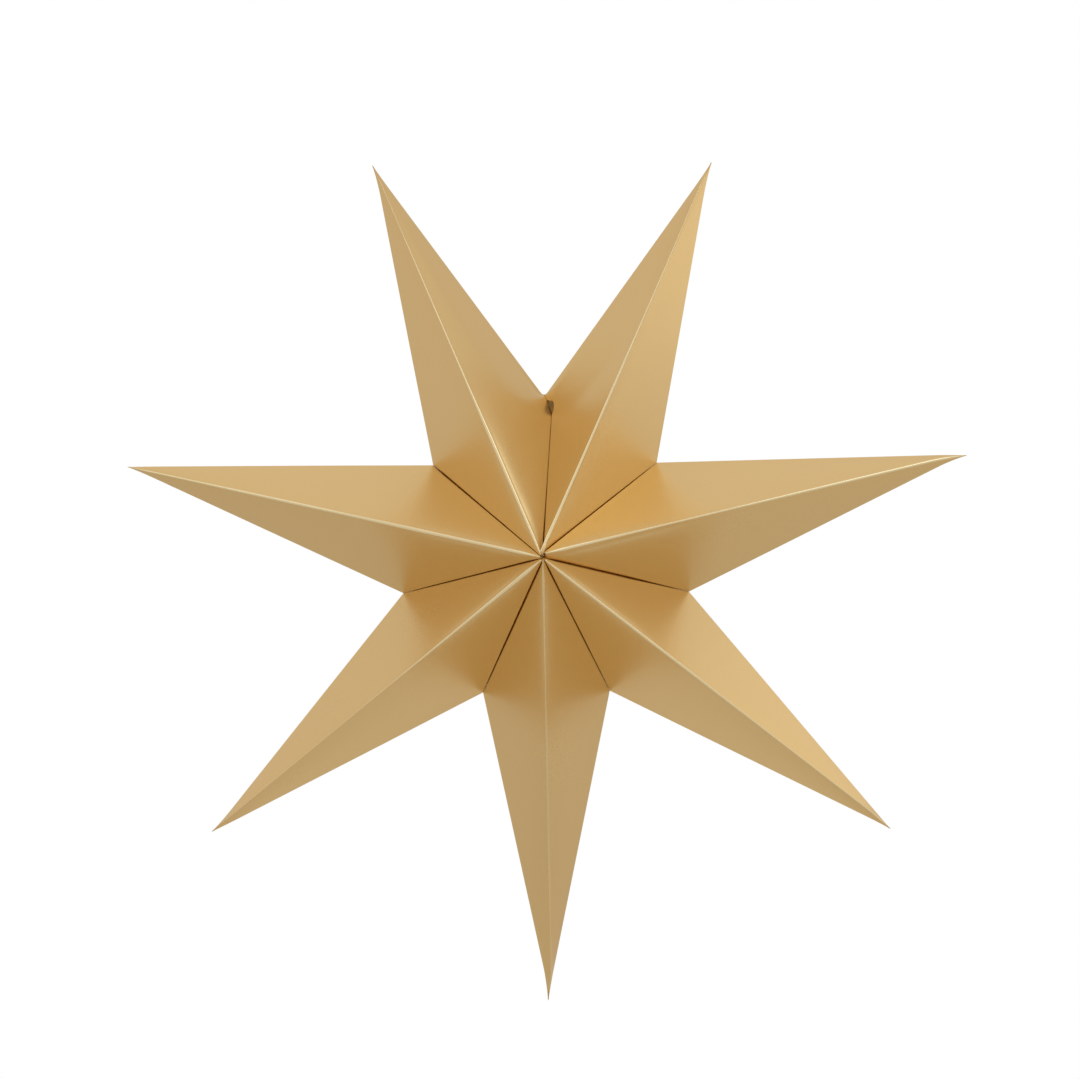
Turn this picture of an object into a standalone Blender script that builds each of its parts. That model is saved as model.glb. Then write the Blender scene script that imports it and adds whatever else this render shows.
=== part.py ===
import math

import bmesh
import bpy
import numpy as np

# A hanging star of seven folded card points, with its front towards -Y.
# Each point is one sheet of card, folded into a cone of four flat panels. Its two open
# sides end in glue flaps, which turn inwards and lie against the flaps of the neighbours.

# Driving sizes, in metres
tip_reach = 0.305
notch_reach = 0.106
half_depth = 0.101
card = 0.0004
glue_gap = 0.0003
flap_width = 0.016
flap_notch = 0.0015
flap_clear = 0.005
crest_bend = 0.0008
seam_bend = 0.0009
tight_bend = 0.0001
hub_hole = 0.0009
nib_reach = 0.006
seam_bow = 0.0054
thread_gap = 0.0058
thread_lip = 0.0024

# The seven points in turn, from +X towards +Z: turns in degrees, and shares of the sizes above
point_names = (
    "point_right",
    "point_top_right",
    "point_top_left",
    "point_left",
    "point_lower_left",
    "point_bottom",
    "point_lower_right",
)
tip_turns = (13.6, 66.9, 113.5, 167.8, 219.9, 270.8, 321.9)
tip_reach_shares = (1.014, 0.991, 0.987, 0.994, 1.006, 1.024, 1.032)
crest_start_shares = (0.95, 0.98, 0.95, 0.97, 1.02, 1.05, 1.03)
crest_side_shares = (0.12, 0.05, 0.00, 0.00, 0.05, 0.00, -0.05)
nib_reach_shares = (0.43, 0.73, 0.70, 0.15, 0.25, 0.97, 0.23)
nib_side_shares = (-0.21, -0.07, 0.08, 0.08, -0.11, -0.11, -0.04)

# The seam that follows each point in the same turn
notch_turns = (39.4, 89.6, 140.4, 194.9, 246.3, 296.4, 346.3)
notch_reach_shares = (0.995, 1.073, 0.966, 0.976, 1.008, 1.016, 1.016)
seam_bend_shares = (0.8, 0.7, 0.9, 1.0, 1.1, 0.9, 1.4)
seam_start_share = 0.85

# The top seam bows sideways, and the thread comes out of a gap near its notch
top_seam = 1
bow_peak_share = 0.865
bow_spread_share = 0.42
thread_end_share = 0.955
flap_end_share = 0.845
gap_shares = ((0.04, 0.50), (0.18, 0.88), (0.42, 1.00), (0.74, 0.62))

# Places along a panel, from its base towards the tip
bend_full_share = 0.04
bow_ring_shares = (0.16, 0.08)

# Facets across the crests and the seams
crest_steps = 4
seam_steps = 3

gold = (0.66, 0.47, 0.22, 1.0)
gold_metallic = 0.85
gold_roughness = 0.38
smooth_angle = math.radians(25)
weld_distance = 1e-6

# The sheets stop at this distance from the hub's axis, where their tight folds still fit
hub_ring = hub_hole + (card + tight_bend + glue_gap / 2) / math.sin(math.pi / len(point_names))
back = np.array((0.0, 1.0, 0.0))


def heading(degrees):
    turn = math.radians(degrees)
    return np.array((math.cos(turn), 0.0, math.sin(turn)))


def unit(vector):
    return vector / np.linalg.norm(vector)


def mirrored(place):
    return place * np.array((1.0, -1.0, 1.0))


def notch_place(seam):
    return heading(notch_turns[seam]) * notch_reach * notch_reach_shares[seam]


# Centre of the ball that lies at the given distances inside the planes through a corner
def ball_centre(corner, normals, distances):
    return corner - np.linalg.pinv(np.array(normals)) @ np.array(distances)


# Unit normals that turn evenly from the first to the last
def turning(first, last, steps):
    angle = math.acos(min(1.0, float(first @ last)))
    parts = [step / steps for step in range(steps + 1)]
    if angle == 0:
        return [first for part in parts]
    return [
        (math.sin((1 - part) * angle) * first + math.sin(part * angle) * last) / math.sin(angle)
        for part in parts
    ]


# A line of a sheet from its base towards its tip. A ball rolls along the inside of every
# fold, and the line starts where it touches the panel. At a seam the line also turns round
# the ball into the flap and ends on the flap's edge.
class Line:
    def __init__(self, centre, bend, normals, edge=None):
        self.centre = centre
        self.bend = bend
        self.normals = normals
        self.edge = edge

    def touch(self, depth):
        return [self.centre + (self.bend + card - depth) * normal for normal in self.normals]

    def flap_edge(self, depth):
        return [] if self.edge is None else [self.edge - depth * self.normals[-1]]


# One point of the star: its tip, its front crest and its two front panels
class Sheet:
    def __init__(self, index):
        turn = heading(tip_turns[index])
        self.side = np.cross(turn, back)
        self.turn = turn
        self.index = index
        reach = tip_reach * tip_reach_shares[index]
        start = hub_ring * crest_start_shares[index]
        self.tip = turn * reach
        self.crest = turn * start + self.side * hub_ring * crest_side_shares[index]
        self.crest = self.crest - back * half_depth * (1 - start / reach)
        self.seams = (index, (index - 1) % len(point_names))
        self.panels = [self.panel_to(seam) for seam in self.seams]
        self.planes = self.panels + [mirrored(panel) for panel in self.panels]

    # The outward normal of the front panel between the crest and a notch
    def panel_to(self, seam):
        normal = unit(np.cross(self.crest - self.tip, notch_place(seam) - self.tip))
        return normal * -math.copysign(1, normal[1])

    # Lines across the front crest, first at the hub and then where the fold is at its full bend
    def crest_lines(self):
        normals = turning(*self.panels, crest_steps)
        full_place = self.crest + (self.tip - self.crest) * bend_full_share
        lines = []
        for place, bend in ((self.crest, tight_bend), (full_place, crest_bend)):
            centre = ball_centre(place, self.panels, (bend + card, bend + card))
            lines.append([Line(centre, bend, [normal]) for normal in normals])
        return lines

    # Lines along one half of a seam, from the hub to the notch, with the thread's gap or without
    def seam_lines(self, which, with_gap):
        seam = self.seams[which]
        panel = self.panels[which]
        notch = notch_place(seam)
        outward = np.cross(unit(notch), back) * (1, -1)[which]
        slope = math.atan2(half_depth, np.linalg.norm(notch))
        inward = back * math.cos(slope) - unit(notch) * math.sin(slope)
        bend = seam_bend * seam_bend_shares[seam]
        trim_share = (flap_clear + flap_width * math.sin(slope)) / np.linalg.norm(notch)
        mitre_share = 1 - (flap_notch + flap_width * math.cos(slope)) / half_depth

        def folded(place, bend_here=bend, width=thread_lip):
            distances = (bend_here + card, bend_here + card + glue_gap / 2)
            centre = ball_centre(place, (panel, outward), distances)
            edge = None
            if width:
                edge = place + inward * width - outward * glue_gap / 2
            return Line(centre, bend_here, turning(panel, outward, seam_steps), edge)

        def place_at(share):
            return notch * share - back * half_depth * (1 - share)

        start = unit(notch) * hub_ring * seam_start_share
        start = start - back * ((start - self.crest) @ panel) / panel[1]
        lines = [folded(start, tight_bend, 0)]
        lines.append(folded(place_at(trim_share), bend, flap_width))
        if seam != top_seam:
            lines.append(folded(place_at(mitre_share), bend, flap_width))
            return lines
        lines.append(folded(place_at(min(flap_end_share, mitre_share)), bend, flap_width))
        lines.append(folded(place_at(bow_peak_share)))
        # The gap is a dent in the right point's seam fold, measured towards that point's tip
        if with_gap and which == 0:
            first = place_at(bow_peak_share)
            along = place_at(thread_end_share) - first
            for run_share, depth_share in gap_shares:
                place = first + along * run_share
                lines.append(folded(place + unit(self.tip - place) * thread_gap * depth_share))
        lines.append(folded(place_at(thread_end_share)))
        return lines

    # Lines round the notch, where the sheet's side fold meets its seam
    def notch_lines(self, which):
        seam = self.seams[which]
        panel = self.panels[which]
        notch = notch_place(seam)
        outward = np.cross(unit(notch), back) * (1, -1)[which]
        bend = seam_bend * seam_bend_shares[seam]
        distances = (bend + card, bend + card, bend + card + glue_gap / 2)
        centre = ball_centre(notch, (panel, mirrored(panel), outward), distances)
        sides = turning(panel, mirrored(panel), crest_steps)
        return [Line(centre, bend, turning(normal, outward, seam_steps)) for normal in sides]

    # All the points of one skin, the outer one or the one that lies a card deeper:
    # each column holds rows from the tip to the base, then round the fold to the flap
    def skin(self, depth):
        tip_radius = tight_bend + card
        near_tip = ball_centre(self.tip, self.planes, [tip_radius] * len(self.planes))
        apex = ball_centre(self.tip, self.planes, [card] * len(self.planes))
        nib = self.turn * nib_reach * nib_reach_shares[self.index]
        nib = nib + self.side * nib_reach * nib_side_shares[self.index]
        nib_tip = self.tip + nib
        shares = (bend_full_share,)
        if top_seam in self.seams:
            shares = bow_ring_shares + shares

        def upper(line, wide):
            normal = line.normals[0]
            goal = apex if depth else near_tip + tip_radius * normal
            first = wide.touch(depth)[0]
            rows = [first + (goal - first) * share for share in shares]
            if wide is not line:
                rest = [(share - bend_full_share) / (1 - bend_full_share) for share in shares]
                rows = [first + (goal - first) * share for share in rest]
            if depth == 0:
                rows = [nib_tip - unit(nib) * card + normal * card, goal] + rows
            return rows

        def column(line, rows):
            return rows, line.touch(depth), line.flap_edge(depth)

        def flipped(columns):
            return [tuple([mirrored(p) for p in part] for part in column) for column in columns]

        front = [column(line, upper(line, wide)) for line, wide in zip(*self.crest_lines())]
        halves = []
        for which in (0, 1):
            beside = front[(0, -1)[which]][0]
            sides = []
            for with_gap in (True, False):
                hub_line, *lines = self.seam_lines(which, with_gap)
                columns = [column(line, upper(line, line)) for line in lines]
                sides.append([column(hub_line, beside)] + columns)
            corner = [column(line, upper(line, line)) for line in self.notch_lines(which)]
            halves.append(sides[0] + corner + flipped(sides[1][::-1]))
        pole = apex if depth else nib_tip
        return pole, front + halves[1] + flipped(front[::-1]) + halves[0][::-1]


# The bowed top seam takes both its sheets sideways, most beside the thread's gap
def bowed(place):
    notch = notch_place(top_seam)
    reach = np.linalg.norm(notch)
    peak = reach * bow_peak_share
    along = place @ unit(notch)
    across = place @ np.cross(back, unit(notch))
    rise = min(
        (along - abs(across) / bow_spread_share) / peak,
        (reach - along) / (reach - peak),
    )
    return place + np.cross(back, unit(notch)) * seam_bow * max(0.0, rise)


# Faces of one skin. Rows count from the base: below zero towards the tip, above it round the
# fold, and the last is the flap's edge.
def add_skin(bm, pole, columns):
    vertices = {}
    edge_row = seam_steps + 1
    for number, (upper, base, edge) in enumerate(columns):
        rows = dict(enumerate(upper, -len(upper)))
        rows.update(enumerate(base))
        if edge:
            rows[edge_row] = edge[0]
        for row, place in rows.items():
            vertices[number, row] = bm.verts.new(bowed(place))
    end = bm.verts.new(bowed(pole))
    first_row = -len(columns[0][0])
    for number in range(len(columns)):
        after = (number + 1) % len(columns)
        bm.faces.new((end, vertices[number, first_row], vertices[after, first_row]))
        for row in range(first_row, edge_row):
            corners = [(number, row), (number, row + 1), (after, row + 1), (after, row)]
            present = [vertices[corner] for corner in corners if corner in vertices]
            if len(present) > 2:
                bm.faces.new(present)
    return vertices


def build_sheet(index, material, parent):
    sheet = Sheet(index)
    bm = bmesh.new()
    outer = add_skin(bm, *sheet.skin(0))
    rims = [edge for edge in bm.edges if edge.is_boundary]
    keys = {vertex: key for key, vertex in outer.items()}
    inner = add_skin(bm, *sheet.skin(card))
    for edge in rims:
        first, last = edge.verts
        bm.faces.new((first, last, inner[keys[last]], inner[keys[first]]))
    bmesh.ops.remove_doubles(bm, verts=bm.verts, dist=weld_distance)
    bmesh.ops.recalc_face_normals(bm, faces=bm.faces)
    mesh = bpy.data.meshes.new(point_names[index])
    bm.to_mesh(mesh)
    bm.free()
    mesh.shade_smooth()
    mesh.set_sharp_from_angle(angle=smooth_angle)
    mesh.materials.append(material)
    point = bpy.data.objects.new(point_names[index], mesh)
    point.parent = parent
    bpy.context.collection.objects.link(point)


def gold_card(name):
    material = bpy.data.materials.new(name)
    material.use_nodes = True
    shader = material.node_tree.nodes["Principled BSDF"]
    shader.inputs["Base Color"].default_value = gold
    shader.inputs["Metallic"].default_value = gold_metallic
    shader.inputs["Roughness"].default_value = gold_roughness
    return material


for leftover in list(bpy.data.objects):
    bpy.data.objects.remove(leftover)

# The star hangs from its top notch, which is the origin
hub = bpy.data.objects.new("hub", None)
hub.location = -notch_place(top_seam)
bpy.context.collection.objects.link(hub)
for index, name in enumerate(point_names):
    build_sheet(index, gold_card(name + "_card"), hub)
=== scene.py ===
import math

import bmesh
import bpy
import numpy as np
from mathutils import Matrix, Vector


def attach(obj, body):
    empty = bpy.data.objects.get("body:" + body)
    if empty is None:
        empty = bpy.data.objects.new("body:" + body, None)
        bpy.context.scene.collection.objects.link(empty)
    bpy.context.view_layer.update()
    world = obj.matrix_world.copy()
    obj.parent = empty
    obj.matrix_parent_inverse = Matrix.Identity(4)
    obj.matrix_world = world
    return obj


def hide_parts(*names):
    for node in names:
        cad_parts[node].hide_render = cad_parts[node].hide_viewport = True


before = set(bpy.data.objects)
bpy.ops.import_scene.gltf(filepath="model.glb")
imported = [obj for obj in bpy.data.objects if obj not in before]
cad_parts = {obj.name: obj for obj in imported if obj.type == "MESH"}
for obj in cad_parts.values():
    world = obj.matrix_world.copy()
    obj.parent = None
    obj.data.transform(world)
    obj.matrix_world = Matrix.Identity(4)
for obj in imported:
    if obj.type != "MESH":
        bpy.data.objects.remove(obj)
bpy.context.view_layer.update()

# Metres everywhere. Turns are in degrees from +X towards +Z, seen from the front (-Y). A share of
# a crest's or seam's run is 0 at the hub and 1 at the tip or notch. Rows are counted from 0 at the
# tip to 1 at the base.
star = dict(
    halfDepth=(0.10087, 0.0999),  # hub to mid plane, front and rear
    card=0.0004,
    bulge=0.0004,         # of each panel, at its middle
    panelColumns=34,
    crestColumns=11,
    cornerColumns=9,
    pointRows=64,
    foldRows=7,
    flapRows=8,
    rowCrowd=0.12,        # crowds the rows towards tip and base
    weld=0.000002,        # closes the grid where it meets itself
    firstColumn=0.004,    # share of a panel's base between its crest and its next column
    hubRing=(0.0021, 0.0006),     # where the seams start, front and rear
    hubBend=0.00045,      # outer radius of the tight folds at the hub
    hubShare=0.09,        # where a seam has its first fold and open values in full
)

# Crests and side folds
creases = dict(
    crestTight=0.05,      # share over which a crest's radius grows at the hub and ends at the tip
    sideRun=0.4,          # share, from the notch, over which a side fold's radius falls
    sideLeast=0.4,        # to this part of it
    sideTight=0.03,       # share at the tip over which the rest ends
    shoulder=0.11,        # radians that the card still bends beside a crest
    shoulderWidth=0.008,
    shoulderIn=(0.50, 0.78),      # rows between which the shoulder comes
    shoulderOut=(1.0, 0.86),      # rows between which it goes, the last one first
    swayRows=0.06,        # rows at the tip over which a crest's sideways shift comes
    nibShare=0.09,        # rows at the tip that are bent
)

# Glue flaps, and the open groove of a seam above them
flaps = dict(
    glueLine=0.00004,     # between two glued flaps
    width=0.016,
    near=1.1,             # width over distance from the hub, where that is less
    mitre=0.86,           # share where a flap starts to narrow towards the notch
    rowPower=1.3,         # crowds the rows towards the fold
    grooveDepth=0.0026,
    grooveShare=0.8,      # of a narrow flap's width, that a groove takes at most
    closePower=1.4,       # by which a groove closes with its depth
    hubOpen=0.3,          # open value at the hub's ring
    notchOpen=0.1,        # open value at the notch
)

# The seam after each point in turn. Its fold and open values are at these shares of its run.
foldShares = (0.15, 0.30, 0.45, 0.60, 0.75, 0.90)
foldScale = 0.00105       # metres of radius for a fold value of 1
openScale = 0.00040       # metres of width for an open value of 1
seams = [
    dict(turn=39.4, reach=0.10547, hubShift=0.0022,
         fold=(1.2, 1.0, 0.95, 1.0, 0.9, 0.65), open=(1.5, 1.3, 1.2, 1.3, 1.1, 0.7)),
    dict(turn=89.6, reach=0.11374, hubShift=0.0003,
         fold=(1.3, 0.8, 0.6, 0.5, 0.5, 0.25), open=(1.6, 0.8, 0.6, 0.5, 0.6, 0.4)),
    dict(turn=140.4, reach=0.10240, hubShift=0.0009,
         fold=(0.8, 1.0, 1.05, 1.2, 1.6, 1.7), open=(0.9, 1.2, 1.3, 1.5, 2.0, 2.1)),
    dict(turn=194.9, reach=0.10346, hubShift=0.0009,
         fold=(1.5, 1.3, 1.1, 1.1, 1.0, 0.65), open=(2.0, 1.6, 1.4, 1.4, 1.2, 0.7)),
    dict(turn=246.3, reach=0.10685, hubShift=0.0009,
         fold=(1.6, 1.5, 1.6, 1.5, 1.1, 1.0), open=(2.1, 2.2, 2.0, 1.9, 1.4, 1.1)),
    dict(turn=296.4, reach=0.10770, hubShift=-0.0005,
         fold=(1.4, 1.2, 0.95, 1.1, 0.75, 0.75), open=(1.8, 1.5, 1.2, 1.4, 0.9, 0.8)),
    dict(turn=346.3, reach=0.10770, hubShift=-0.0009,
         fold=(1.9, 1.9, 1.9, 1.9, 1.1, 0.7), open=(2.6, 2.6, 2.6, 2.6, 1.5, 0.8)),
]

# The points in turn. Crest values are at these shares of the run from hub to tip. crestHub is how
# far out and aside the crest ends at the hub, crestTip its shift at the tip, nib the tip's bend
# outwards and aside, and the crest's paleness value how pale it is painted: real wear plus a
# painted highlight, lower on the bottom point, whose crest faces down, away from the light.
crestShares = (0.05, 0.15, 0.30, 0.45, 0.60, 0.75, 0.85)
crestScale = 0.00050      # metres of radius for a crest value of 1
points = [
    dict(node="point_right", turn=13.6, reach=0.30922, nib=(0.0026, -0.0013), wornHighlight=1.0,
         crestHub=(0.0020, 0.0019), crestTip=0.0007, crest=(3.0, 2.5, 1.6, 1.7, 2.3, 2.5, 2.5)),
    dict(node="point_top_right", turn=66.9, reach=0.30222, nib=(0.0044, -0.0004), wornHighlight=1.0,
         crestHub=(0.0020, 0.0032), crestTip=0.0004, crest=(3.4, 2.8, 2.4, 2.1, 1.3, 0.9, 0.6)),
    dict(node="point_top_left", turn=113.5, reach=0.30104, nib=(0.0042, 0.0005), wornHighlight=1.0,
         crestHub=(0.0020, 0.0011), crestTip=0.0, crest=(2.0, 2.0, 2.4, 1.1, 0.9, 0.8, 0.35)),
    dict(node="point_left", turn=167.8, reach=0.30315, nib=(0.0009, 0.0005), wornHighlight=1.0,
         crestHub=(0.0022, 0.0006), crestTip=0.0003, crest=(2.9, 2.9, 3.4, 2.3, 2.6, 2.1, 1.4)),
    dict(node="point_lower_left", turn=219.9, reach=0.30683, nib=(0.0015, -0.0007), wornHighlight=1.0,
         crestHub=(0.0025, 0.0011), crestTip=-0.0008, crest=(3.4, 2.7, 1.7, 0.5, 0.35, 0.3, 0.3)),
    dict(node="point_bottom", turn=270.8, reach=0.31232, nib=(0.0058, -0.0007), wornHighlight=0.3,
         crestHub=(0.0028, -0.0002), crestTip=0.0018, crest=(2.9, 2.0, 0.85, 2.0, 1.6, 1.8, 1.0)),
    dict(node="point_lower_right", turn=321.9, reach=0.31476, nib=(0.0014, -0.0002), wornHighlight=1.0,
         crestHub=(0.0026, -0.0010), crestTip=0.0010, crest=(2.3, 2.2, 2.4, 1.9, 1.3, 0.9, 0.9)),
]

# The top seam is pulled sideways, and the hanging thread's gap opens beside its notch
topSeam = dict(
    index=1,
    extraColumns=(0.80, 0.985, 40),       # from and to these shares, and how many
    bow=0.0054,
    bowPeak=0.879,        # share of the seam where it is pulled most
    bowSpread=0.42,       # distance aside over distance out, at which the pull ends
    bowSoft=0.035,        # roundness of the pull's folds
    knee=(0.25, 2.2, 0.05),       # past the peak the pull falls slowly, and steeply at the notch
    kneeWidth=0.005,      # how far aside that goes
    edgeSlope=1.36,       # of the two points' edges above the notch
    fillet=0.0046,        # size of the rounded corner at the notch
    filletRise=0.0018,
    filletFlat=0.6,       # share at which a distance forwards or back counts for the corner
    gapEnd=0.980,
    gapShares=(0.0, 0.03, 0.10, 0.20, 0.38, 0.55, 0.72, 0.90, 1.0),
    gapDepths=(0.0, 0.0040, 0.0055, 0.0064, 0.0069, 0.0056, 0.0034, 0.0013, 0.0),
    gapFold=0.0016,       # outer radius of the gap's soft edge
    gapSlope=(0.25, 1.6),         # how much of the gap's floor is a slope, and how steep
)

# Values from 0 to 1 that go into the mesh: real wear plus painted highlight at creases, and
# painted shade in the seam grooves and in the thread's gap
paintedLightAndWear = dict(
    # real wear plus a painted highlight
    sideCrease=0.5,       # at a side fold
    # painted shade in the seam groove
    foldGrooveShade=(0.35, 2.0),       # at the end of a seam's fold, and the power by which it comes
    # painted shade in the thread's gap
    foldGapShade=(0.65, -1.5),         # what the thread's gap adds to those two
    # painted shade down the flap
    flapGrooveShade=(0.4, 1.2),        # at a flap's start, and its rise to the groove's floor
    # painted shade in the thread's gap
    flapGapShade=0.4,          # what the thread's gap adds to the first
    gapPower=1.5,         # by which the gap's shade comes round the fold
)

back = np.array((0.0, 1.0, 0.0))
flip = np.array((1.0, -1.0, 1.0))


# The unit vector at a turn: its cosine along X and its sine along Z
def heading(turn):
    return np.array((math.cos(math.radians(turn)), 0.0, math.sin(math.radians(turn))))


# Each vector over its own length
def unit(vectors):
    return vectors / np.linalg.norm(vectors, axis=-1, keepdims=True)


# Row by row dot product
def dots(first, last):
    return np.sum(first * last, axis=-1, keepdims=True)


# Normals turned evenly from the first to the last by a share t of the angle A between them:
# sin((1 - t) A) / sin A of the first plus sin(t A) / sin A of the last
def turned(first, last, shares):
    angle = np.arccos(np.clip(dots(first, last), -1, 1))
    return (np.sin((1 - shares) * angle) * first + np.sin(shares * angle) * last) / np.sin(angle)


# From the centre of a ball of radius 1 that touches two planes to the planes' sharp edge: the sum
# of their normals over 1 plus the normals' dot product
def ballStep(first, last):
    return (first + last) / (1 + dots(first, last))


# Smooth step from 0 to 1 between two values: 3 t^2 - 2 t^3
def ease(low, high, values):
    t = np.clip((values - low) / (high - low), 0, 1)
    return t * t * (3 - 2 * t)


# A rounded smaller of two: their mean less half their rounded distance
def softLess(first, second, soft):
    return (first + second - np.sqrt((first - second) ** 2 + soft ** 2)) / 2


# A seam's notch: its reach along its heading
def notchOf(seam):
    return heading(seam["turn"]) * seam["reach"]


topNotch = notchOf(seams[topSeam["index"]])


# The crest's end at the hub, a little out and aside. Its depth is on the line from the hub's
# axis to the tip: half depth times 1 less the way out over the reach.
def crestEnd(point, rear=False):
    out, side = point["crestHub"]
    if rear:
        out, side = star["hubRing"][1], 0.0
    turn = heading(point["turn"])
    depth = star["halfDepth"][rear] * (1 - out / point["reach"])
    return turn * out + np.cross(turn, back) * side - back * depth


# Outward normals of a point's two front panels: the one at the seam after it, then the other.
# Each is the cross product of the panel's two edges from the tip, turned to the front.
def panelNormals(point, own):
    tip = heading(point["turn"]) * point["reach"]
    crest = crestEnd(point)
    normals = unit(np.array([np.cross(crest - tip, notchOf(seam) - tip) for seam in own]))
    return normals * -np.sign(normals[:, 1:2])


# A panel's sharp edge at its seam, straight from the hub's apex to the notch. The apex is set
# sideways, and its depth is where the panel's own plane has it.
def seamEnds(seam, normal, rear):
    notch = notchOf(seam)
    apex = np.cross(heading(seam["turn"]), back) * seam["hubShift"]
    depth = (apex - notch) @ normal / normal[1]
    return apex - back * min(depth, star["halfDepth"][rear]), notch


# Outer radius of a crest at shares of its run from the hub: between its own values, with smooth
# steps to the tight bend at the hub and to nothing at the tip
def crestRadius(point, shares):
    tight = creases["crestTight"]
    wide = np.interp(shares, crestShares, np.array(point["crest"]) * crestScale)
    wide = star["hubBend"] + (wide - star["hubBend"]) * ease(0.0, tight, shares)
    return wide * ease(1.0, 1 - tight, shares)


# How much of its radius a side fold has at shares of its run from the notch, less towards the tip:
# the least plus a smooth step of the rest, and a smooth step to nothing at the tip
def sideTaper(shares):
    least = creases["sideLeast"]
    taper = least + (1 - least) * ease(creases["sideRun"], 0.0, shares)
    return taper * ease(1.0, 1 - creases["sideTight"], shares)


# Outer radius, half open width and flap width at shares of a seam's run, between its own values.
# The flap narrows in proportion to the distance from the hub and, past the mitre, to the notch.
def seamValues(seam, start, shares):
    near = (start, star["hubShare"]) + foldShares
    folds = np.array(seam["fold"]) * foldScale
    bend = np.interp(shares, near, (star["hubBend"], folds[0], *folds))
    opens = (flaps["hubOpen"], seam["open"][0], *seam["open"], flaps["notchOpen"])
    opening = np.interp(shares, near + (1.0,), opens)
    width = np.minimum(
        flaps["near"] * shares * seam["reach"],
        flaps["width"] * np.clip((1 - shares) / (1 - flaps["mitre"]), 0, 1),
    )
    return bend, flaps["glueLine"] / 2 + opening * openScale / 2, width


# One panel's columns, from the crest to the notch. Each is a straight line from the tip to the
# base, where the seam fold starts. At its sides the panel gives way to the folds, whose lines
# lie a radius times (normal minus ball step) off the sharp edges.
def panelColumns(point, seam, normal, other, hand, rear, withGap):
    tip = heading(point["turn"]) * point["reach"]
    notch = notchOf(seam)
    outward = np.cross(unit(notch), back) * hand
    inward = unit(back * np.linalg.norm(notch) - unit(notch) * star["halfDepth"][rear])
    step = ballStep(normal, outward)
    slide = outward - normal * (outward @ normal)
    gap = flaps["glueLine"] / 2
    ends = np.array(seamEnds(seam, normal, rear))
    run = ends[1] - ends[0]

    # the run stops where the ball in the notch's corner touches all three planes
    lastBend = seam["fold"][-1] * foldScale
    planes = np.array((normal, normal * flip, outward))
    corner = notch - np.linalg.pinv(planes) @ np.array((lastBend, lastBend, lastBend + gap))
    start = star["hubRing"][rear] / seam["reach"]
    stop = float((corner + lastBend * step - ends[0]) @ run / (run @ run))
    t = (1 - np.cos(np.linspace(0, math.pi, star["panelColumns"]))) / 2
    if seam is seams[topSeam["index"]]:
        t = np.unique(np.concatenate((t, np.linspace(*topSeam["extraColumns"]))))
    shares = start + (stop - start) * t
    bend, opening, width = seamValues(seam, start, shares)
    edge = ends[0] + run * shares[:, None] - slide * opening[:, None] / (slide @ slide)
    soft = shares * 0
    if withGap:
        across = (shares - topSeam["bowPeak"]) / (topSeam["gapEnd"] - topSeam["bowPeak"])
        dent = np.interp(across, topSeam["gapShares"], topSeam["gapDepths"], 0, 0)
        pull = unit(tip - edge) * dent[:, None]
        edge = edge + pull
        opening = opening - pull @ outward
        soft = np.clip(dent / max(topSeam["gapDepths"]), 0, 1)
        bend = bend + (topSeam["gapFold"] - bend) * soft

    first = star["firstColumn"]
    aside = first + (1 - first) * (shares - start) / (stop - start)
    aside = np.concatenate(((0.0,), aside))[:, None]
    crestStep = normal - ballStep(normal, other)
    crestBase = crestEnd(point, rear) + crestRadius(point, 0.0) * crestStep
    columns = dict(
        base=np.vstack((crestBase, edge + bend[:, None] * (normal - step))),
        ball=np.vstack((crestBase, edge - bend[:, None] * step)),
        bend=np.concatenate(((0.0,), bend)),
        width=np.concatenate(((0.0,), width)),
        closing=np.concatenate(((0.0,), opening - gap)),
        soft=np.concatenate(((0.0,), soft)),
        normal=np.tile(normal, (len(aside), 1)),
        outward=np.tile(outward, (len(aside), 1)),
        inward=np.tile(inward, (len(aside), 1)),
        crestStep=(1 - aside) * crestStep,
        dip=np.tile(ballStep(normal, other), (len(aside), 1)),
        sideStep=aside * lastBend * (normal - ballStep(normal, normal * flip)),
        nearCrest=1 - aside[:, 0],
        nearSide=aside[:, 0],
        panel=np.ones(len(aside)),
    )
    return columns, corner, lastBend


# Columns round a crest or a notch's corner: normals turn evenly from one panel's to the next's
def roundColumns(first, last, count, centre, bend, outward, atCrest):
    t = np.linspace(0, 1, count)[1:-1, None]
    normals = turned(first, last, t)
    spread = normals - ballStep(first, last)
    still = np.zeros((len(t), 3))
    place = centre + bend * (spread if atCrest else normals)
    return dict(
        base=place,
        ball=place if atCrest else np.tile(centre, (len(t), 1)),
        bend=np.full(len(t), 0.0 if atCrest else bend),
        width=np.zeros(len(t)),
        closing=np.zeros(len(t)),
        soft=np.zeros(len(t)),
        normal=normals,
        outward=np.tile(outward, (len(t), 1)),
        inward=still,
        crestStep=spread if atCrest else still,
        dip=still + ballStep(first, last) if atCrest else still,
        sideStep=still if atCrest else spread * bend,
        nearCrest=np.full(len(t), 1.0 if atCrest else 0.0),
        nearSide=np.full(len(t), 0.0 if atCrest else 1.0),
        panel=np.zeros(len(t)),
    )


# The same columns in the other order
def backwards(columns):
    return {key: values[::-1] for key, values in columns.items()}


# Columns mirrored in the star's mid plane: every vector's Y changes its sign
def atRear(columns):
    return {key: values * flip if values.ndim > 1 else values for key, values in columns.items()}


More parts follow.
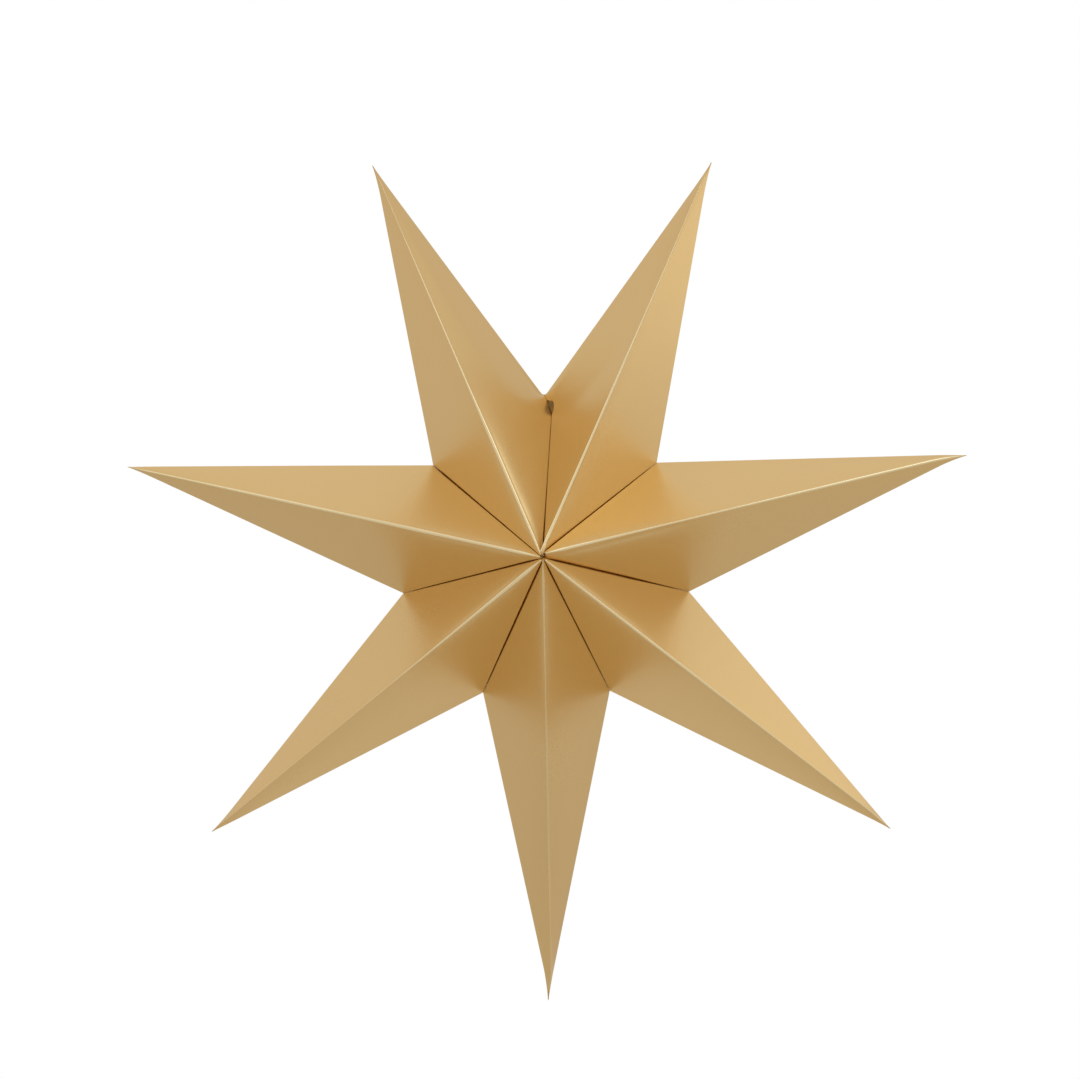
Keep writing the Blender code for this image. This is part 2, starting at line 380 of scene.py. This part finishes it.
# All columns once round a point's cone: from the front crest over the side fold to the rear crest,
# and back over the other side fold. Each side fold turns about its notch's corner.
def coneColumns(point, own):
    normals = panelNormals(point, own)
    sides = []
    for which, hand in enumerate((1, -1)):
        args = (point, own[which], normals[which], normals[1 - which], hand)
        withGap = which == 0 and own[0] is seams[topSeam["index"]]
        front, corner, bend = panelColumns(*args, False, withGap)
        rear = atRear(panelColumns(*args, True, False)[0])
        fold = roundColumns(normals[which], normals[which] * flip, star["cornerColumns"],
                            corner, bend, front["outward"][0], False)
        sides.append((front, fold, rear))
    crest = roundColumns(normals[1], normals[0], star["crestColumns"], crestEnd(point),
                         crestRadius(point, 0.0), heading(point["turn"]), True)
    parts = (
        sides[0][0], sides[0][1], backwards(sides[0][2]), atRear(backwards(crest)),
        sides[1][2], backwards(sides[1][1]), backwards(sides[1][0]), crest,
    )
    return {key: np.concatenate([part[key] for part in parts]) for key in crest}


# The cone's skin: a place is the tip plus s times the way to the column's base, for s from 0 at
# the tip to 1 at the base. Added to that are what the radii of crests and side folds gain or lose
# on the way, the crest's shift, the bends beside it, the panels' bulge and the bent tip.
def coneSkin(point, own, c):
    turn = heading(point["turn"])
    side = np.cross(turn, back)
    tip = turn * point["reach"]
    t = np.linspace(0, 1, star["pointRows"])
    s = t - star["rowCrowd"] * np.sin(2 * math.pi * t)
    crestGain = (crestRadius(point, 1 - s) - s * crestRadius(point, 0.0))[:, None, None]
    sideGain = (sideTaper(1 - s) - s)[:, None, None]
    skin = tip + s[:, None, None] * (c["base"] - tip)
    skin = skin + crestGain * c["crestStep"] + sideGain * c["sideStep"]
    sway = point["crestTip"] * (1 - s) * ease(0.0, creases["swayRows"], s)
    skin = skin + (sway[:, None] * c["nearCrest"])[..., None] * side

    # beside a crest the card bends on, by an angle that falls off with the distance from it
    width = np.linalg.norm(np.cross(notchOf(own[0]) - tip, unit(crestEnd(point) - tip)))
    away = np.exp(-s[:, None] * c["nearSide"] * width / creases["shoulderWidth"])
    away = away * (ease(*creases["shoulderIn"], s) * ease(*creases["shoulderOut"], s))[:, None]
    dip = creases["shoulder"] * creases["shoulderWidth"] * away
    skin = skin - dip[..., None] * c["dip"]

    bulge = star["bulge"] * np.sin(math.pi * s)[:, None]
    bulge = bulge * np.sin(math.pi * c["nearSide"]) * c["panel"]
    skin = skin + bulge[..., None] * c["normal"]
    nib = turn * point["nib"][0] + side * point["nib"][1]
    return skin + (np.clip(1 - s / creases["nibShare"], 0, 1) ** 2)[:, None, None] * nib


# The seam fold and the flap, with the values of painted shade in their groove and in the thread's
# gap. The fold is its ball's centre plus the radius times normals that turn from the panel's to
# the seam's. The flap runs on inwards, and closes onto its neighbour by a power of its depth in
# the groove, or by a slope in the gap.
def seamRows(c):
    parts = np.arange(1, star["foldRows"] + 1)[:, None, None] / star["foldRows"]
    fold = c["ball"] + c["bend"][:, None] * turned(c["normal"], c["outward"], parts)
    reach = np.arange(1, star["flapRows"] + 1)[:, None] / star["flapRows"]
    reach = reach ** flaps["rowPower"] * c["width"]
    floor = np.minimum(flaps["grooveDepth"], flaps["grooveShare"] * c["width"])
    deep = np.clip(reach / np.maximum(floor, 1e-6), 0, 1)
    share, steep = topSeam["gapSlope"]
    slope = np.sin(math.pi / 2 * np.clip(steep * deep, 0, 1))
    curve = deep ** flaps["closePower"]
    closed = curve + c["soft"] * share * (slope - curve)
    flap = fold[-1] + reach[..., None] * c["inward"]
    flap = flap + (closed * c["closing"])[..., None] * c["outward"]

    # painted shade that deepens round the seam fold and down the flap
    pairs = zip(paintedLightAndWear["foldGrooveShade"], paintedLightAndWear["foldGapShade"])
    foldEnd, foldPower = [plain + more * c["soft"] for plain, more in pairs]
    foldGrooveShade = parts[..., 0] ** foldPower * foldEnd
    flapStart, flapRise = paintedLightAndWear["flapGrooveShade"]
    flapGrooveShade = np.clip(flapStart + flapRise * deep + paintedLightAndWear["flapGapShade"] * c["soft"], 0, 1)
    # painted shade inside the thread's gap
    foldGapShade = parts[..., 0] ** paintedLightAndWear["gapPower"] * c["soft"]
    flapGapShade = reach * 0 + c["soft"]
    grooveShades = np.concatenate((foldGrooveShade, flapGrooveShade))
    gapShades = np.concatenate((foldGapShade, flapGapShade))
    return np.concatenate((fold, flap)), grooveShades, gapShades


# The top seam's sideways pull: a tent with rounded folds, highest beside the thread's gap. It
# rises from the hub by the distance out, less aside, and past its peak it falls to the points'
# edges, with a knee near the seam. Then the notch's corner is filled, by (1 - d)^2 for a distance
# d in sizes of the fillet.
def bowed(places):
    out = unit(topNotch)
    side = np.cross(back, out)
    reach = np.linalg.norm(topNotch)
    peak = reach * topSeam["bowPeak"]
    along = places @ out
    rounding = reach * topSeam["bowSoft"]
    across = np.sqrt((places @ side) ** 2 + rounding ** 2) - rounding
    edge = reach + topSeam["edgeSlope"] * across
    fall = (edge - along) / (edge - peak)
    least, steep, soft = topSeam["knee"]
    knee = softLess(least + (1 - least) * fall, steep * fall, soft) - fall
    rise = softLess(
        (along - across / topSeam["bowSpread"]) / peak,
        fall + knee * np.exp(-across / topSeam["kneeWidth"]),
        topSeam["bowSoft"],
    )
    rise = -softLess(-rise, 0.0, topSeam["bowSoft"])
    places = places + side * (topSeam["bow"] * rise)[..., None]
    away = (places - topNotch) * (1, topSeam["filletFlat"], 1)
    away = np.linalg.norm(away, axis=-1) / topSeam["fillet"]
    return places + out * (topSeam["filletRise"] * np.clip(1 - away, 0, 1) ** 2)[..., None]


# A point's outer skin as a grid, and its painted values: wear and highlight on crests and side
# folds, shade in the seam grooves and the thread's gap. Rows run from the tip to the base, round
# the seam fold and into the flap, and columns once round the cone.
def pointGrid(point):
    index = points.index(point)
    own = (seams[index], seams[index - 1])
    c = coneColumns(point, own)
    skin = coneSkin(point, own, c)
    below, grooveShades, gapShades = seamRows(c)
    grid = np.concatenate((skin, below))
    # crests and side folds are painted paler: real wear plus a painted highlight
    wornHighlight = np.maximum(c["nearCrest"] * point["wornHighlight"], paintedLightAndWear["sideCrease"] * c["nearSide"])
    plain = skin[..., 0] * 0
    values = {
        "creaseWearAndHighlight": np.tile(wornHighlight * (1 - c["panel"]), (len(grid), 1)),
        "grooveShade": np.concatenate((plain, grooveShades)),
        "gap": np.concatenate((plain, gapShades)),
    }
    return bowed(grid) - topNotch, values


# Quads of a grid that closes on itself round its columns: each place, the one after it in its
# row, and the two below those
def gridQuads(rows, columns):
    r, c = np.meshgrid(np.arange(rows - 1) * columns, np.arange(columns), indexing="ij")
    after = (c + 1) % columns
    corners = (r + c, r + after, r + columns + after, r + columns + c)
    return np.stack(corners, axis=-1).reshape(-1, 4)


# A point's sheet of card: its outer skin, welded, with the card's thickness inwards
def makePoint(point, material):
    grid, values = pointGrid(point)
    mesh = bpy.data.meshes.new(point["node"] + "_sheet")
    mesh.from_pydata(grid.reshape(-1, 3), [], gridQuads(*grid.shape[:2]))
    for name, shades in values.items():
        mesh.attributes.new(name, "FLOAT", "POINT").data.foreach_set("value", shades.ravel())
    bm = bmesh.new()
    bm.from_mesh(mesh)
    bmesh.ops.remove_doubles(bm, verts=bm.verts, dist=star["weld"])
    bm.to_mesh(mesh)
    bm.free()
    mesh.shade_smooth()
    mesh.materials.append(material)
    sheet = bpy.data.objects.new(point["node"] + "_sheet", mesh)
    bpy.context.collection.objects.link(sheet)
    thick = sheet.modifiers.new("card", "SOLIDIFY")
    thick.thickness = star["card"]
    thick.offset = -1
    thick.use_even_offset = False
    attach(sheet, "root")
    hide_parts(point["node"])


# A shader socket in a sum or product: each one adds a Math node
class Wire:
    def __init__(self, finish, socket):
        self.finish = finish
        self.socket = socket

    def math(self, operation, first, second):
        return self.finish.add("ShaderNodeMath", {"operation": operation}, {0: first, 1: second})

    def __add__(self, other):
        return self.math("ADD", self, other)

    def __radd__(self, other):
        return self.math("ADD", other, self)

    def __sub__(self, other):
        return self.math("SUBTRACT", self, other)

    def __rsub__(self, other):
        return self.math("SUBTRACT", other, self)

    def __mul__(self, other):
        return self.math("MULTIPLY", self, other)

    def __rmul__(self, other):
        return self.math("MULTIPLY", other, self)


# The nodes of a material or of the world. add() makes a node of a type, with its settings first
# and then the values or links of its sockets, and gives its first output or the named one.
class Finish:
    def __init__(self, owner, shader="Principled BSDF"):
        owner.use_nodes = True
        self.owner = owner
        self.tree = owner.node_tree
        self.shader = self.tree.nodes[shader]

    def add(self, kind, settings, sockets, output=0):
        node = self.tree.nodes.new(kind)
        for key, value in settings.items():
            setattr(node, key, value)
        self.feed(node, sockets)
        return Wire(self, node.outputs[output])

    def feed(self, node, sockets):
        for key, value in sockets.items():
            if isinstance(value, Wire):
                self.tree.links.new(value.socket, node.inputs[key])
            else:
                node.inputs[key].default_value = value

    def mix(self, factor, first, second):
        settings = {"data_type": "RGBA"}
        return self.add("ShaderNodeMix", settings, {0: factor, 6: first, 7: second}, 2)


# Satin metallic gold. Each noise has its scale and detail, each bump its strength and depth.
gold = dict(
    body=(0.83, 0.60, 0.258, 1.0),
    # paler gold on crests and side folds: real wear plus a painted highlight
    wornHighlight=(1.0, 0.855, 0.50, 1.0),
    # painted shade: darker, browner gold in the seam grooves and flaps
    paintedGrooveShade=(0.72, 0.40, 0.07, 1.0),
    # painted shade: near-black brown inside the thread's gap
    paintedGapShade=(0.20, 0.12, 0.03, 1.0),
    metallic=0.95,
    # the painted groove shade is also less metallic
    grooveDull=0.7,       # off the metallic value
    roughness=0.29,
    cloud=(14.0, 3.0),
    cloudRough=0.06,
    grain=(1400.0, 2.0),
    grainRough=0.05,
    grainBump=(0.12, 0.0002),
    peel=(90.0, 2.0),
    peelBump=(0.08, 0.001),
    creaseSmooth=0.05,    # off the roughness
    coat=0.3,
    coatRoughness=0.35,
)


def goldCard():
    finish = Finish(bpy.data.materials.new("goldCard"))
    place = finish.add("ShaderNodeTexCoord", {}, {}, "Object")

    def noise(scale, detail):
        sockets = {"Vector": place, "Scale": scale, "Detail": detail}
        return finish.add("ShaderNodeTexNoise", {}, sockets, "Fac")

    def shade(name):
        return finish.add("ShaderNodeAttribute", {"attribute_name": name}, {}, "Fac")

    def bump(strength, depth, height, more):
        sockets = {"Strength": strength, "Distance": depth, "Height": height, **more}
        return finish.add("ShaderNodeBump", {}, sockets)

    creaseWearAndHighlight, grooveShade, gap = shade("creaseWearAndHighlight"), shade("grooveShade"), shade("gap")
    cloud, grain, peel = noise(*gold["cloud"]), noise(*gold["grain"]), noise(*gold["peel"])
    # crests and side folds paler: real wear plus a painted highlight
    color = finish.mix(creaseWearAndHighlight, gold["body"], gold["wornHighlight"])
    # painted shade in the seam grooves and flaps
    color = finish.mix(grooveShade, color, gold["paintedGrooveShade"])
    # painted shade inside the thread's gap
    color = finish.mix(gap, color, gold["paintedGapShade"])
    rough = gold["roughness"] + (cloud - 0.5) * gold["cloudRough"]
    rough = rough + (grain - 0.5) * gold["grainRough"] - creaseWearAndHighlight * gold["creaseSmooth"]
    fine = bump(*gold["grainBump"], grain, {})
    finish.feed(finish.shader, {
        "Base Color": color,
        "Metallic": gold["metallic"] - grooveShade * gold["grooveDull"],
        "Roughness": rough,
        "Normal": bump(*gold["peelBump"], peel, {"Normal": fine}),
        "Coat Weight": gold["coat"],
        "Coat Roughness": gold["coatRoughness"],
    })
    return finish.owner


cardFinish = goldCard()
for point in points:
    makePoint(point, cardFinish)
    print("scene:", point["node"], "folded")

# A white room with a pale floor below the view
studio = dict(
    floorBelow=0.80,      # below the hub
    floorRadius=3.0,
    floorSides=96,
    floorColor=(0.80, 0.79, 0.77, 1.0),
    floorRoughness=0.8,
    room=(0.655, 0.604, 0.580, 1.0),
    backdrop=(1.0, 1.0, 1.0, 1.0),
    cameraAway=4.0,
    viewWidth=0.7721,     # at the star's mid plane
    viewCentre=(-0.0029, -0.1019),
)

# Soft boxes round and over the star: place from the hub, width, height, watts, color
plainLight = (1.0, 1.0, 1.0)
coolLight = (0.74, 0.85, 1.0)
softBoxes = dict(
    top=((0.0, 0.35, 1.25), 1.4, 1.1, 0.26, plainLight),
    highTop=((0.0, 0.8, 1.9), 1.4, 1.1, 0.42, plainLight),
    right=((1.20, 0.45, 0.35), 0.8, 0.8, 0.56, plainLight),
    left=((-1.5, 0.7, 0.85), 1.1, 1.1, 0.24, plainLight),
    under=((0.0, 0.35, -0.78), 0.7, 0.7, 0.15, plainLight),
    overRight=((1.1, -0.6, 1.1), 1.0, 1.0, 3.15, coolLight),
    overLeft=((-1.1, -0.6, 1.1), 1.0, 1.0, 1.5, coolLight),
)
hub = Vector((0, 0, -topNotch[2]))


def linked(name, data):
    thing = bpy.data.objects.new(name, data)
    bpy.context.collection.objects.link(thing)
    return thing


# The floor is a disc: its radius along the cosine and sine of turns all round
turns = np.linspace(0, 2 * math.pi, studio["floorSides"], endpoint=False)
disc = np.stack((np.cos(turns), np.sin(turns), turns * 0), axis=-1) * studio["floorRadius"]
disc[:, 2] = hub.z - studio["floorBelow"]
floor = bpy.data.meshes.new("floor")
floor.from_pydata(disc, [], [list(range(len(disc)))])
floorFinish = Finish(bpy.data.materials.new("paleFloor"))
floorFinish.feed(floorFinish.shader, {
    "Base Color": studio["floorColor"],
    "Roughness": studio["floorRoughness"],
})
floor.materials.append(floorFinish.owner)
linked("floor", floor)

for name, (place, width, height, watts, color) in softBoxes.items():
    box = bpy.data.lights.new(name, "AREA")
    box.shape = "RECTANGLE"
    box.size = width
    box.size_y = height
    box.energy = watts
    box.color = color
    lamp = linked(name, box)
    lamp.location = hub + Vector(place)
    lamp.rotation_euler = Vector(place).to_track_quat("Z", "Y").to_euler()

# The room lights the star evenly, and shows white behind it
room = bpy.data.worlds.new("room")
bpy.context.scene.world = room
roomFinish = Finish(room, "Background")
seen = roomFinish.add("ShaderNodeLightPath", {}, {}, "Is Camera Ray")
roomColor = roomFinish.mix(seen, studio["room"], studio["backdrop"])
roomFinish.feed(roomFinish.shader, {"Color": roomColor})

camera = bpy.data.cameras.new("camera")
camera.lens = camera.sensor_width * studio["cameraAway"] / studio["viewWidth"]
viewer = linked("camera", camera)
viewer.location = (studio["viewCentre"][0], -studio["cameraAway"], studio["viewCentre"][1])
viewer.rotation_euler = (math.pi / 2, 0, 0)
bpy.context.scene.camera = viewer
bpy.context.scene.view_settings.view_transform = "Standard"
print("scene: studio lit")
